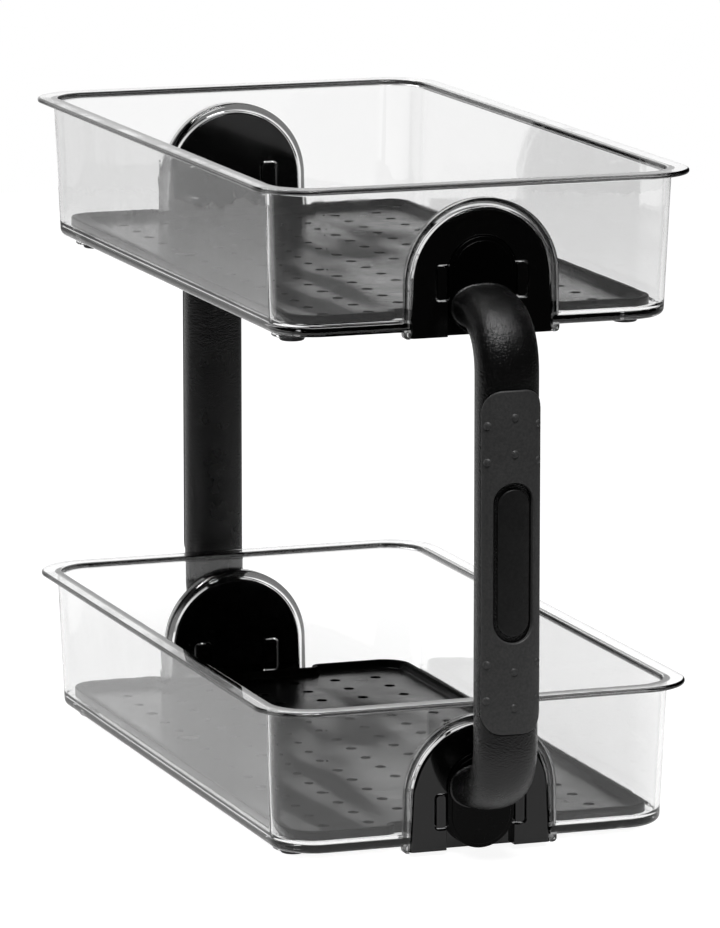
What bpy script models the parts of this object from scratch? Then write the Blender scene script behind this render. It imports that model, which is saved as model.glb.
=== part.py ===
"""Two-tier clear organizer carried by two C-shaped handles. Metres, +Z up.

Front is -Y. The origin is on the table, in the middle under the organizer.
Each tray is built about its own datum: the middle of its underside.
"""
import math

import bmesh
import bpy
from mathutils import Vector

for old in list(bpy.data.objects):
    bpy.data.objects.remove(old, do_unlink=True)

MM = 0.001
GAP = 0.3 * MM                   # clearance between pieces that touch

# Tray, a rounded tub with a flat rim flange.
RIM_WIDTH = 178.0 * MM           # short side, over the flange
RIM_DEPTH = 321.0 * MM           # long side, over the flange
RIM_CORNER = 22.0 * MM
TRAY_HEIGHT = 58.0 * MM          # underside to the top of the rim
TIER_RISE = 202.0 * MM           # from one tray to the next
FLANGE = 6.2 * MM                # how far the rim stands out from the wall
RIM_THICK = 2.0 * MM
WALL = 1.8 * MM
WALL_LEAN = 2.0 * MM             # how far the wall leans in from rim to floor
WALL_CORNER = 18.0 * MM
BOTTOM_EDGE = 3.0 * MM           # radius round the underside
FLOOR_TOP = 3.3 * MM
PANEL_RECESS = 1.5 * MM          # hollow under the floor
PANEL_MARGIN = 5.0 * MM
FLOOR_FILLET = 3.0 * MM

# Arch plate that fills an opening in each short side, inside a clear collar.
PLATE_INSET = 8.5 * MM           # end plate's face behind the edge of the rim
PLATE_FACE = RIM_DEPTH / 2 - PLATE_INSET
PLATE_THICK = 5.0 * MM
PLATE_HALF = 28.1 * MM           # half width, and radius of the arch
PLATE_TOP = 47.2 * MM
PLATE_DROP = 2.3 * MM            # how far it hangs below the tray's underside
PLATE_SLOPE = 0.042              # its sides run out this much for each unit down
PLATE_BACK = 1.4 * MM            # what is left of it behind the hub
PLATE_BEVEL = 0.9 * MM
COLLAR_WALL = 3.0 * MM
COLLAR_CROWN = 0.6 * MM          # extra at the top of the collar's arch
COLLAR_SLOPE = 0.02
LUG_DROP = 0.2 * MM              # the collar's feet reach this much lower
LUG_CORNER = 1.6 * MM

# Hub of the handle, an upright stadium, and its two key wings.
HUB_RADIUS = 13.7 * MM
HUB_LOW_CENTRE = 11.4 * MM       # centres of its end arcs above the underside
HUB_HIGH_CENTRE = 22.5 * MM
HUB_PROUD = 1.1 * MM
HUB_CHAMFER = 2.0 * MM
KEY_WIDTH = 37.4 * MM
KEY_HEIGHT = 13.8 * MM
KEY_CORNER = 1.6 * MM
KEY_TAB = 7.0 * MM               # width of each wing's tab on the inner side
KEY_ABOVE_LOWER = 13.2 * MM      # key's middle above each tray's underside
KEY_ABOVE_UPPER = 18.6 * MM

# Handle tube, an oval swept along a C.
TUBE_WIDTH = 25.2 * MM
TUBE_THICK = 16.5 * MM
OVAL_POWER = 2.3                 # 2 is an ellipse, more is squarer
TUBE_REACH = 26.6 * MM           # tube's middle in front of the plate's face
BEND_HEIGHT = 24.0 * MM
BEND_POWER = 2.4                 # roundness of the bend, as for the oval
TUBE_ABOVE_LOWER = 22.8 * MM     # tube's middle above the lower tray's underside
TUBE_ABOVE_UPPER = 9.2 * MM      # and above the upper tray's underside

# Soft grip pad, laid in a shallow channel in the outer face of the tube.
PAD_LENGTH = 133.6 * MM
PAD_HALF_WRAP = 12.7 * MM        # from its middle line round to its edge
PAD_CORNER = 8.5 * MM
PAD_PROUD = 0.9 * MM
CHANNEL_DEPTH = 0.9 * MM
PAD_EDGE = 0.5 * MM
WINDOW_LENGTH = 62.2 * MM        # stadium window that holds the inlay
WINDOW_HALF = 8.0 * MM
WINDOW_LIP = 0.65 * MM
INLAY_LENGTH = 57.0 * MM
INLAY_HALF = 6.4 * MM
INLAY_PROUD = 0.35 * MM
DOT_RADIUS = 1.5 * MM
DOT_HEIGHT = 0.7 * MM
DOT_ROWS = (42.3 * MM, 56.4 * MM)   # middle dots' heights from the pad's middle
DOT_SIDE = 10.2 * MM             # side dots, measured round the tube
DOT_STAGGER = 3.0 * MM           # side dots lie this much nearer the middle

# Soft mat, with a raised border and rows of small dimples.
MAT_GAP = 1.2 * MM
MAT_CORNER = 12.0 * MM
MAT_BORDER_TOP = 8.0 * MM
MAT_FIELD_TOP = 4.9 * MM
MAT_BORDER = 2.6 * MM
MAT_SLOPE = 1.6 * MM             # run of the slope from the border down to the field
NOTCH_DEPTH = 5.6 * MM           # the mat steps back this much at each collar
NOTCH_OUTER_CORNER = 4.5 * MM
NOTCH_INNER_CORNER = 0.9 * MM
DIMPLE_PITCH = 18.5 * MM         # between columns
DIMPLE_ROW_PITCH = 17.85 * MM
DIMPLE_RADIUS = 1.7 * MM
DIMPLE_DEPTH = 0.8 * MM
DIMPLE_MARGIN = 14.0 * MM        # dimples stay this far inside the mat's edge

# Rubber foot plug in a clear ring boss under each corner.
FOOT_FROM_SIDE = 20.3 * MM       # middle of a foot, in from the rim's long edge
FOOT_FROM_END = 33.5 * MM        # and in from its short edge
FOOT_RADIUS = 5.7 * MM
FOOT_TIP_RADIUS = 4.4 * MM
FOOT_DROP = 4.2 * MM
FOOT_TAPER = 1.0 * MM            # below the underside, where the taper starts
BOSS_WALL = 2.0 * MM
BOSS_DROP = 2.4 * MM

TRAY_Z = {"lower": FOOT_DROP, "upper": FOOT_DROP + TIER_RISE}
TURN = {"front": 0.0, "back": math.pi}
CORNER_STEPS = 6
ARCH_STEPS = 18
OVAL_STEPS = 24
BEND_STEPS = 8


def material(name, colour, roughness, alpha=1.0, metallic=0.0):
    mat = bpy.data.materials.new(name)
    mat.use_nodes = True
    shader = mat.node_tree.nodes["Principled BSDF"]
    shader.inputs["Base Color"].default_value = (*colour, 1.0)
    shader.inputs["Roughness"].default_value = roughness
    shader.inputs["Metallic"].default_value = metallic
    shader.inputs["Alpha"].default_value = alpha
    mat.diffuse_color = (*colour, alpha)
    return mat


CLEAR = material("clear_plastic", (0.86, 0.87, 0.88), 0.05, alpha=0.35)
GLOSS = material("gloss_black_plastic", (0.012, 0.012, 0.013), 0.08)
MATTE = material("matte_black_plastic", (0.022, 0.022, 0.023), 0.5)
SOFT = material("soft_grip", (0.045, 0.045, 0.047), 0.62)
LINER = material("soft_mat", (0.055, 0.055, 0.058), 0.6)
FOOT = material("foot_rubber", (0.03, 0.03, 0.032), 0.7)


def make_object(name, mesh, mat, smooth_angle=30.0):
    obj = bpy.data.objects.new(name, mesh)
    bpy.context.scene.collection.objects.link(obj)
    if mat is not None and not mesh.materials:
        mesh.materials.append(mat)
    mesh.shade_smooth()
    mesh.set_sharp_from_angle(angle=math.radians(smooth_angle))
    return obj


def mesh_from(name, verts, faces):
    mesh = bpy.data.meshes.new(name)
    mesh.from_pydata([tuple(v) for v in verts], [], faces)
    work = bmesh.new()
    work.from_mesh(mesh)
    bmesh.ops.remove_doubles(work, verts=work.verts, dist=1e-6)
    bmesh.ops.recalc_face_normals(work, faces=work.faces)
    work.to_mesh(mesh)
    work.free()
    return mesh


def loft(name, loops):
    """Skin closed loops of equal length one after another and cap both ends."""
    verts, faces = [], []
    count = len(loops[0])
    for loop in loops:
        verts.extend(loop)
    for k in range(len(loops) - 1):
        for i in range(count):
            j = (i + 1) % count
            a, b = k * count, (k + 1) * count
            faces.append((a + i, a + j, b + j, b + i))
    faces.append(tuple(range(count - 1, -1, -1)))
    last = (len(loops) - 1) * count
    faces.append(tuple(range(last, last + count)))
    return mesh_from(name, verts, faces)


def joined(name, meshes):
    """One mesh holding several separate closed shapes, for use as a cutter."""
    work = bmesh.new()
    for mesh in meshes:
        work.from_mesh(mesh)
    out = bpy.data.meshes.new(name)
    work.to_mesh(out)
    work.free()
    return out


def cut_with(obj, name, mesh, operation):
    """Add a boolean with a hidden cutter that follows the object."""
    cutter = bpy.data.objects.new(name, mesh)
    bpy.context.scene.collection.objects.link(cutter)
    cutter.hide_render = True
    cutter.display_type = "WIRE"
    cutter.parent = obj
    mod = obj.modifiers.new(name, "BOOLEAN")
    mod.object = cutter
    mod.operation = operation
    mod.solver = "EXACT"
    return cutter


def rounded_loop(half_x, half_y, corner, z):
    points = []
    centres = ((1, -1, -90), (1, 1, 0), (-1, 1, 90), (-1, -1, 180))
    for sx, sy, start in centres:
        cx, cy = sx * (half_x - corner), sy * (half_y - corner)
        for i in range(CORNER_STEPS + 1):
            turn = math.radians(start + 90.0 * i / CORNER_STEPS)
            points.append(Vector((cx + corner * math.cos(turn),
                                  cy + corner * math.sin(turn), z)))
    return points


def extrude_outline(name, outline, y_from, y_to):
    """Prism of an outline in X and Z, between two values of Y."""
    return loft(name, [[Vector((x, y, z)) for x, z in outline]
                       for y in (y_from, y_to)])


def arch_outline(half, bottom, top, slope=0.0, bottom_corner=0.0):
    """Round top on straight sides, which run out by the slope as they go down."""
    spring = top - half
    foot = half + slope * (spring - bottom)
    c = bottom_corner
    steps = 3 if c else 0
    turns = [math.pi / 2 * i / max(steps, 1) for i in range(steps + 1)]
    right = [(foot - c + c * math.sin(t), bottom + c - c * math.cos(t)) for t in turns]
    points = [(-x, z) for x, z in right[::-1]] + right
    for i in range(ARCH_STEPS + 1):
        turn = math.pi * i / ARCH_STEPS
        points.append((half * math.cos(turn), spring + half * math.sin(turn)))
    return points


def stadium_outline(radius, low, high, cut_below):
    """Upright stadium in X and Z whose lower end is cut off level."""
    points = []
    drop = low - cut_below
    start = -math.asin(min(1.0, drop / radius)) if drop < radius else -math.pi / 2
    steps = ARCH_STEPS // 2
    for i in range(steps + 1):
        turn = start * (1.0 - i / steps)
        points.append((radius * math.cos(turn), low + radius * math.sin(turn)))
    for i in range(ARCH_STEPS + 1):
        turn = math.pi * i / ARCH_STEPS
        points.append((radius * math.cos(turn), high + radius * math.sin(turn)))
    for i in range(steps + 1):
        turn = math.pi - start * (i / steps)
        points.append((radius * math.cos(turn), low + radius * math.sin(turn)))
    return points


def rounded_box_outline(half_x, half_z, corner, mid_z, mid_x=0.0, steps=4):
    points = []
    for sx, sz, start in ((1, -1, -90), (1, 1, 0), (-1, 1, 90), (-1, -1, 180)):
        cx, cz = mid_x + sx * (half_x - corner), mid_z + sz * (half_z - corner)
        for i in range(steps + 1):
            turn = math.radians(start + 90.0 * i / steps)
            points.append((cx + corner * math.cos(turn), cz + corner * math.sin(turn)))
    return points


def turned(name, profile, x=0.0, y=0.0, sides=20):
    """Solid of revolution about an upright axis, from (radius, height) pairs."""
    spokes = [(math.cos(2 * math.pi * i / sides), math.sin(2 * math.pi * i / sides))
              for i in range(sides)]
    return loft(name, [[Vector((x + r * c, y + r * s, z)) for c, s in spokes]
                       for r, z in profile])


FOOT_X, FOOT_Y = RIM_WIDTH / 2 - FOOT_FROM_SIDE, RIM_DEPTH / 2 - FOOT_FROM_END
FOOT_SPOTS = {
    "front_left": (-FOOT_X, -FOOT_Y), "front_right": (FOOT_X, -FOOT_Y),
    "back_left": (-FOOT_X, FOOT_Y), "back_right": (FOOT_X, FOOT_Y),
}
COLLAR_END = PLATE_FACE - PLATE_THICK        # flush with the plate's inner face


def wall_inset(z):
    """Distance from the rim's edge in to the wall's outer face at a height."""
    return FLANGE + WALL_LEAN * (1.0 - z / TRAY_HEIGHT)


def tray_loop(inset, corner, z):
    return rounded_loop(RIM_WIDTH / 2 - inset, RIM_DEPTH / 2 - inset, corner, z)


def tray_mesh():
    """The tub as one skin: under the floor, up outside, over the rim, down inside."""
    foot_inset = wall_inset(0.0)
    rim_low = TRAY_HEIGHT - RIM_THICK
    panel = foot_inset + BOTTOM_EDGE + PANEL_MARGIN
    panel_corner = WALL_CORNER - BOTTOM_EDGE - PANEL_MARGIN
    loops = [
        tray_loop(panel + PANEL_RECESS / 2, panel_corner - PANEL_RECESS / 2, PANEL_RECESS),
        tray_loop(panel, panel_corner, 0.0),
    ]
    for i in range(4):
        turn = math.radians(30.0 * i)
        inward = BOTTOM_EDGE * (1.0 - math.sin(turn))
        loops.append(tray_loop(foot_inset + inward, WALL_CORNER - inward,
                               BOTTOM_EDGE * (1.0 - math.cos(turn))))
    neck = 0.6 * MM
    loops += [
        tray_loop(wall_inset(rim_low - neck), WALL_CORNER, rim_low - neck),
        tray_loop(FLANGE - neck, WALL_CORNER + neck, rim_low),
        tray_loop(0.3 * MM, RIM_CORNER - 0.3 * MM, rim_low),
        tray_loop(0.0, RIM_CORNER, rim_low + 0.3 * MM),
        tray_loop(0.0, RIM_CORNER, TRAY_HEIGHT - 0.7 * MM),
        tray_loop(0.2 * MM, RIM_CORNER - 0.2 * MM, TRAY_HEIGHT - 0.2 * MM),
        tray_loop(0.7 * MM, RIM_CORNER - 0.7 * MM, TRAY_HEIGHT),
    ]
    inner_corner = WALL_CORNER - WALL
    loops += [
        tray_loop(FLANGE + WALL - 0.5 * MM, inner_corner + 0.5 * MM, TRAY_HEIGHT),
        tray_loop(FLANGE + WALL, inner_corner, TRAY_HEIGHT - 0.5 * MM),
    ]
    base = wall_inset(FLOOR_TOP) + WALL
    for i in range(4):
        turn = math.radians(30.0 * i)
        inward = FLOOR_FILLET * (1.0 - math.cos(turn))
        loops.append(tray_loop(base + inward, inner_corner - inward,
                               FLOOR_TOP + FLOOR_FILLET * (1.0 - math.sin(turn))))
    return loft("tray", loops)


def collar_mesh(side):
    """Clear block round one arch opening, from within the leaning wall inward."""
    half, top = PLATE_HALF + GAP + COLLAR_WALL, PLATE_TOP + GAP + COLLAR_WALL + COLLAR_CROWN
    outline = arch_outline(half, -PLATE_DROP - LUG_DROP, top, COLLAR_SLOPE, LUG_CORNER)
    in_wall = [Vector((x, side * (RIM_DEPTH / 2 - wall_inset(z) - WALL / 3), z))
               for x, z in outline]
    return loft("collar", [in_wall, [Vector((x, side * COLLAR_END, z)) for x, z in outline]])


def build_tray(name, z):
    tray = make_object(name, tray_mesh(), CLEAR)
    tray.location.z = z
    opening = arch_outline(PLATE_HALF + GAP, -3.0 * PLATE_DROP, PLATE_TOP + GAP, PLATE_SLOPE)
    outside = RIM_DEPTH / 2 - FLANGE / 2
    added, removed = [], []
    for side in (-1, 1):
        added.append(collar_mesh(side))
        removed.append(extrude_outline("opening", opening,
                                       side * (COLLAR_END - GAP), side * outside))
    for x, y in FOOT_SPOTS.values():
        outer, bore = FOOT_RADIUS + GAP + BOSS_WALL, FOOT_RADIUS + GAP
        added.append(turned("boss", [(outer, -BOSS_DROP),
                                     (outer, (PANEL_RECESS + FLOOR_TOP) / 2)], x, y))
        removed.append(turned("boss_bore", [(bore, -2.0 * BOSS_DROP),
                                            (bore, PANEL_RECESS)], x, y))
    cut_with(tray, name + "_added", joined("tray_added", added), "UNION")
    cut_with(tray, name + "_removed", joined("tray_removed", removed), "DIFFERENCE")
    return tray


def mat_outline(inset, z):
    """The mat's edge, with a notch round each collar, moved in by an inset."""
    floor_edge = wall_inset(FLOOR_TOP) + WALL + FLOOR_FILLET
    half_x = RIM_WIDTH / 2 - floor_edge - MAT_GAP - inset
    half_y = RIM_DEPTH / 2 - floor_edge - MAT_GAP - inset
    notch_x = PLATE_HALF + GAP + COLLAR_WALL + MAT_GAP + inset
    notch_y = half_y - NOTCH_DEPTH
    convex = NOTCH_OUTER_CORNER - inset
    concave = NOTCH_INNER_CORNER + inset
    quarter = [
        (notch_x, notch_y, concave, "inner"), (notch_x, half_y, convex, "tip"),
        (half_x, half_y, MAT_CORNER - inset, "outer"),
    ]
    points = []
    for sx, sy in ((1, 1), (-1, 1), (-1, -1), (1, -1)):
        spots = quarter if sx * sy < 0 else quarter[::-1]
        for px, py, radius, kind in spots:
            points += corner_arc(sx, sy, px, py, radius, kind)
    return [Vector((x, y, z)) for x, y in points]


def corner_arc(sx, sy, px, py, radius, kind, steps=4):
    """Round one corner of the mat: its outer one, the tip beside a notch or the notch's inner one."""
    side_x, side_y, start, sweep = {
        "outer": (-1, -1, 0.0, 90.0), "tip": (1, -1, 90.0, 90.0), "inner": (-1, 1, 0.0, -90.0),
    }[kind]
    centre = (px + side_x * radius, py + side_y * radius)
    arc = []
    for i in range(steps + 1):
        turn = math.radians(start + sweep * i / steps)
        arc.append((sx * (centre[0] + radius * math.cos(turn)),
                    sy * (centre[1] + radius * math.sin(turn))))
    return arc if sx * sy > 0 else arc[::-1]


def build_mat(name, tray_z):
    edge = 0.5 * MM
    low = FLOOR_TOP + GAP
    mesh = loft("mat", [
        mat_outline(edge, low),
        mat_outline(0.0, low + edge),
        mat_outline(0.0, MAT_BORDER_TOP - edge),
        mat_outline(edge, MAT_BORDER_TOP),
        mat_outline(MAT_BORDER - edge, MAT_BORDER_TOP),
        mat_outline(MAT_BORDER + MAT_SLOPE, MAT_FIELD_TOP),
    ])
    mat = make_object(name, mesh, LINER)
    mat.location.z = tray_z
    reach_x = RIM_WIDTH / 2 - wall_inset(FLOOR_TOP) - WALL - FLOOR_FILLET - DIMPLE_MARGIN
    reach_y = RIM_DEPTH / 2 - RIM_WIDTH / 2 + reach_x - NOTCH_DEPTH
    columns, rows = int(reach_x / DIMPLE_PITCH), int(reach_y / DIMPLE_ROW_PITCH)
    cone = [(0.0, MAT_FIELD_TOP - DIMPLE_DEPTH),
            (2.0 * DIMPLE_RADIUS, MAT_FIELD_TOP + DIMPLE_DEPTH)]
    dimples = [turned("dimple", cone, i * DIMPLE_PITCH, j * DIMPLE_ROW_PITCH, sides=6)
               for i in range(-columns, columns + 1) for j in range(-rows, rows + 1)]
    cut_with(mat, name + "_dimples", joined("dimples", dimples), "DIFFERENCE")
    return mat


def foot_mesh():
    profile = [(FOOT_RADIUS, PANEL_RECESS - GAP), (FOOT_RADIUS, -FOOT_TAPER),
               (FOOT_TIP_RADIUS + 0.5 * MM, -FOOT_DROP + 0.5 * MM),
               (FOOT_TIP_RADIUS, -FOOT_DROP)]
    return turned("foot", profile, sides=16)


def plate_mesh():
    """Arch plate with a bevel round its face, cut level at the bottom."""
    face, back = -PLATE_FACE, -PLATE_FACE + PLATE_THICK

    def ring(inset, y):
        outline = arch_outline(PLATE_HALF - inset, inset - PLATE_TOP, PLATE_TOP - inset,
                               PLATE_SLOPE)
        return [Vector((x, y, z)) for x, z in outline]

    mesh = loft("plate", [ring(0.0, back), ring(0.0, face + PLATE_BEVEL),
                          ring(PLATE_BEVEL, face)])
    work = bmesh.new()
    work.from_mesh(mesh)
    cut = bmesh.ops.bisect_plane(
        work, geom=work.verts[:] + work.edges[:] + work.faces[:], clear_inner=True,
        plane_co=(0.0, 0.0, -PLATE_DROP), plane_no=(0.0, 0.0, 1.0))
    bmesh.ops.contextual_create(
        work, geom=[g for g in cut["geom_cut"] if isinstance(g, bmesh.types.BMEdge)])
    bmesh.ops.recalc_face_normals(work, faces=work.faces)
    work.to_mesh(mesh)
    work.free()
    return mesh


# The hub sits in a blind slot of the plate; only the key's two tabs go through.
HUB_SEAT = -PLATE_FACE + PLATE_THICK - PLATE_BACK
KEY_SEAT = HUB_SEAT - 0.2 * MM
TAB_INSET = 0.2 * MM


def key_outline(key_mid, grow=0.0):
    return rounded_box_outline(KEY_WIDTH / 2 + grow, KEY_HEIGHT / 2 + grow,
                               KEY_CORNER + grow, key_mid)


def tab_outlines(key_mid, grow=0.0):
    """Outlines of the key's two tabs, a little inside its wings."""
    middle = (KEY_WIDTH - KEY_TAB) / 2
    return [rounded_box_outline(KEY_TAB / 2 - TAB_INSET + grow,
                                KEY_HEIGHT / 2 - TAB_INSET + grow,
                                KEY_CORNER - TAB_INSET + grow, key_mid, side * middle)
            for side in (-1, 1)]


def build_plate(name, tier, side):
    key_mid = KEY_MID[tier]
    plate = make_object(name, plate_mesh(), GLOSS)
    plate.location.z = TRAY_Z[tier]
    plate.rotation_euler.z = TURN[side]
    beyond = 2.0 * MM
    front, back = -PLATE_FACE - beyond, -PLATE_FACE + PLATE_THICK + beyond
    slot = arch_outline(HUB_RADIUS + GAP, -PLATE_DROP - beyond,
                        HUB_HIGH_CENTRE + HUB_RADIUS + GAP)
    cut_with(plate, name + "_hub_slot",
             extrude_outline("hub_slot", slot, front, HUB_SEAT), "DIFFERENCE")
    cut_with(plate, name + "_key_slot",
             extrude_outline("key_slot", key_outline(key_mid, GAP), front, KEY_SEAT),
             "DIFFERENCE")
    windows = [extrude_outline("window", outline, KEY_SEAT - GAP, back)
               for outline in tab_outlines(key_mid, GAP)]
    cut_with(plate, name + "_tab_windows", joined("tab_windows", windows), "DIFFERENCE")
    return plate


def build_hub(name, tier, side):
    """Stadium boss with a chamfered face, the key that crosses it and the key's tabs."""
    key_mid = KEY_MID[tier]
    cut = -PLATE_DROP

    def ring(inset, y):
        outline = stadium_outline(HUB_RADIUS - inset, HUB_LOW_CENTRE, HUB_HIGH_CENTRE, cut)
        return [Vector((x, y, z)) for x, z in outline]

    mesh = loft("hub", [
        ring(0.0, HUB_SEAT - GAP), ring(0.0, -PLATE_FACE - 0.1 * MM),
        ring(HUB_CHAMFER, -PLATE_FACE - HUB_PROUD),
    ])
    hub = make_object(name, mesh, MATTE)
    hub.location.z = TRAY_Z[tier]
    hub.rotation_euler.z = TURN[side]
    key = extrude_outline("key", key_outline(key_mid), -PLATE_FACE, KEY_SEAT - GAP)
    cut_with(hub, name + "_key", key, "UNION")
    inner_face = -PLATE_FACE + PLATE_THICK
    tabs = [extrude_outline("tab", outline, KEY_SEAT - 4.0 * GAP, inner_face - GAP)
            for outline in tab_outlines(key_mid)]
    cut_with(hub, name + "_tabs", joined("tabs", tabs), "UNION")
    return hub


# The handle's own frame has its zero halfway between the two ends of the tube.
HANDLE_MID = (TRAY_Z["lower"] + TUBE_ABOVE_LOWER + TRAY_Z["upper"] + TUBE_ABOVE_UPPER) / 2
TUBE_HALF_SPAN = (TIER_RISE + TUBE_ABOVE_UPPER - TUBE_ABOVE_LOWER) / 2
TUBE_START = PLATE_FACE + HUB_PROUD + GAP
TUBE_RUN = PLATE_FACE + TUBE_REACH           # middle of the upright run
KEY_MID = {"upper": KEY_ABOVE_UPPER, "lower": KEY_ABOVE_LOWER}


def oval(turn):
    """Point of the tube's section at an angle, with the unit normal there."""
    a, b, p = TUBE_WIDTH / 2, TUBE_THICK / 2, OVAL_POWER
    c, s = math.cos(turn), math.sin(turn)
    x = a * math.copysign(abs(c) ** (2 / p), c)
    y = b * math.copysign(abs(s) ** (2 / p), s)
    nx = math.copysign(abs(x / a) ** (p - 1) / a, x)
    ny = math.copysign(abs(y / b) ** (p - 1) / b, y)
    size = math.hypot(nx, ny) or 1.0
    return x, y, nx / size, ny / size


def wrap_table(steps=240):
    """Distance round the outer face against the angle of the section."""
    table, last, travelled = [], oval(math.pi / 2), 0.0
    for i in range(steps + 1):
        turn = math.pi / 2 * (1.0 - i / steps)
        here = oval(turn)
        travelled += math.hypot(here[0] - last[0], here[1] - last[1])
        table.append((travelled, turn))
        last = here
    return table


WRAP = wrap_table()


def grip_point(across, height, lift):
    """Point on the outer face of the upright run, raised by a lift."""
    want = abs(across)
    turn = WRAP[-1][1]
    for (s0, t0), (s1, t1) in zip(WRAP, WRAP[1:]):
        if s1 >= want:
            turn = t0 + (t1 - t0) * (want - s0) / max(s1 - s0, 1e-12)
            break
    x, y, nx, ny = oval(turn)
    side = math.copysign(1.0, across)
    return Vector((side * (x + nx * lift), -(TUBE_RUN + y + ny * lift), height))


def bend_path():
    """Middle line of one bend as (out, drop, normal out, normal up), from its end on."""
    reach = TUBE_RUN - TUBE_START
    points = []
    for i in range(BEND_STEPS + 1):
        turn = math.pi / 2 * i / BEND_STEPS
        c, s, p = math.cos(turn), math.sin(turn), BEND_POWER
        along, up = abs(s) ** (2 / p), abs(c) ** (2 / p)
        normal = Vector((along ** (p - 1) / reach, up ** (p - 1) / BEND_HEIGHT)).normalized()
        points.append((TUBE_START + reach * along, BEND_HEIGHT * (1.0 - up),
                       normal.x, normal.y))
    return points


def tube_mesh():
    bend = bend_path()
    stations = [(out, TUBE_HALF_SPAN - drop, n_out, n_up) for out, drop, n_out, n_up in bend]
    stations += [(out, -height, n_out, -n_up) for out, height, n_out, n_up in stations[::-1]]
    loops = []
    for out, height, n_out, n_up in stations:
        loop = []
        for k in range(OVAL_STEPS):
            x, y, _, _ = oval(2 * math.pi * k / OVAL_STEPS)
            loop.append(Vector((x, -(out + y * n_out), height + y * n_up)))
        loops.append(loop)
    return loft("tube", loops)


def patch_mesh(name, half_length, half_wrap, corner, layers, rows=5, columns=10):
    """Closed rounded patch on the outer face of the tube.

    layers lists (inset, lift) pairs from the underside to the top.
    """
    heights_unit = [math.sin(math.pi / 2 * i / rows) for i in range(rows + 1)]

    def grid(inset, lift):
        length, wrap = half_length - inset, half_wrap - inset
        radius = max(corner - inset, 0.2 * MM)
        steps = [length - radius + radius * h for h in heights_unit]
        heights = [-h for h in reversed(steps)] + steps
        table = []
        for h in heights:
            over = max(0.0, abs(h) - (length - radius))
            reach = wrap - radius + math.sqrt(max(radius * radius - over * over, 0.0))
            reach = max(reach, 0.15 * MM)
            table.append([grip_point(reach * (2.0 * j / columns - 1.0), h, lift)
                          for j in range(columns + 1)])
        return table

    verts, faces = [], []
    grids = [grid(inset, lift) for inset, lift in layers]
    lines = len(grids[0])

    def border(table):
        loop = [table[0][j] for j in range(columns)]
        loop += [table[i][columns] for i in range(lines - 1)]
        loop += [table[-1][j] for j in range(columns, 0, -1)]
        loop += [table[i][0] for i in range(lines - 1, 0, -1)]
        return loop

    for table, flip in ((grids[0], True), (grids[-1], False)):
        start = len(verts)
        for row in table:
            verts.extend(row)
        for i in range(lines - 1):
            for j in range(columns):
                a = start + i * (columns + 1) + j
                quad = (a, a + 1, a + columns + 2, a + columns + 1)
                faces.append(quad[::-1] if flip else quad)
    for lower, upper in zip(grids, grids[1:]):
        low, high = border(lower), border(upper)
        start = len(verts)
        verts.extend(low + high)
        count = len(low)
        for i in range(count):
            j = (i + 1) % count
            faces.append((start + i, start + j, start + count + j, start + count + i))
    return mesh_from(name, verts, faces)


def dot_mesh(across, height):
    """Low dome whose foot is sunk in the pad and whose top is one raised dot."""
    foot = PAD_PROUD - 0.5 * MM
    dome = [(DOT_RADIUS, 0.0), (DOT_RADIUS, 0.6 * MM),
            (0.8 * DOT_RADIUS, 0.5 * MM + 0.7 * DOT_HEIGHT),
            (0.4 * DOT_RADIUS, 0.5 * MM + DOT_HEIGHT)]
    mesh = turned("dot", dome, sides=8)
    seat = grip_point(across, height, foot)
    outward = grip_point(across, height, 0.0) - grip_point(across, height, -1.0 * MM)
    turn = Vector((0.0, 0.0, 1.0)).rotation_difference(outward).to_matrix().to_4x4()
    turn.translation = seat
    mesh.transform(turn)
    return mesh


def place_on_handle(obj, side):
    obj.location.z = HANDLE_MID
    obj.rotation_euler.z = TURN[side]
    return obj


def build_handle(side):
    tube = place_on_handle(make_object("handle_" + side, tube_mesh(), MATTE), side)
    above = 3.0 * MM
    channel = patch_mesh("channel", PAD_LENGTH / 2 + GAP, PAD_HALF_WRAP + GAP,
                         PAD_CORNER + GAP, [(0.0, -CHANNEL_DEPTH), (0.0, above)])
    cut_with(tube, "handle_%s_channel" % side, channel, "DIFFERENCE")

    floor = GAP - CHANNEL_DEPTH
    pad_mesh = patch_mesh("pad", PAD_LENGTH / 2, PAD_HALF_WRAP, PAD_CORNER,
                          [(0.0, floor), (0.0, PAD_PROUD - PAD_EDGE),
                           (PAD_EDGE, PAD_PROUD)])
    pad = place_on_handle(make_object("grip_" + side, pad_mesh, SOFT), side)
    window = patch_mesh("window", WINDOW_LENGTH / 2 + WINDOW_LIP, WINDOW_HALF + WINDOW_LIP,
                        WINDOW_HALF + WINDOW_LIP,
                        [(WINDOW_LIP, floor - 1.0 * MM), (WINDOW_LIP, PAD_PROUD - WINDOW_LIP),
                         (0.0, PAD_PROUD), (0.0, above)])
    cut_with(pad, "grip_%s_window" % side, window, "DIFFERENCE")
    dots = []
    for end in (-1, 1):
        for row in DOT_ROWS:
            dots.append(dot_mesh(0.0, end * row))
            for hand in (-1, 1):
                dots.append(dot_mesh(hand * DOT_SIDE, end * (row - DOT_STAGGER)))
    cut_with(pad, "grip_%s_dots" % side, joined("dots", dots), "UNION")

    inlay_mesh = patch_mesh("inlay", INLAY_LENGTH / 2, INLAY_HALF, INLAY_HALF,
                            [(0.0, floor), (0.0, INLAY_PROUD - 0.3 * MM),
                             (0.3 * MM, INLAY_PROUD)], rows=4, columns=4)
    place_on_handle(make_object("inlay_" + side, inlay_mesh, MATTE), side)


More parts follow.
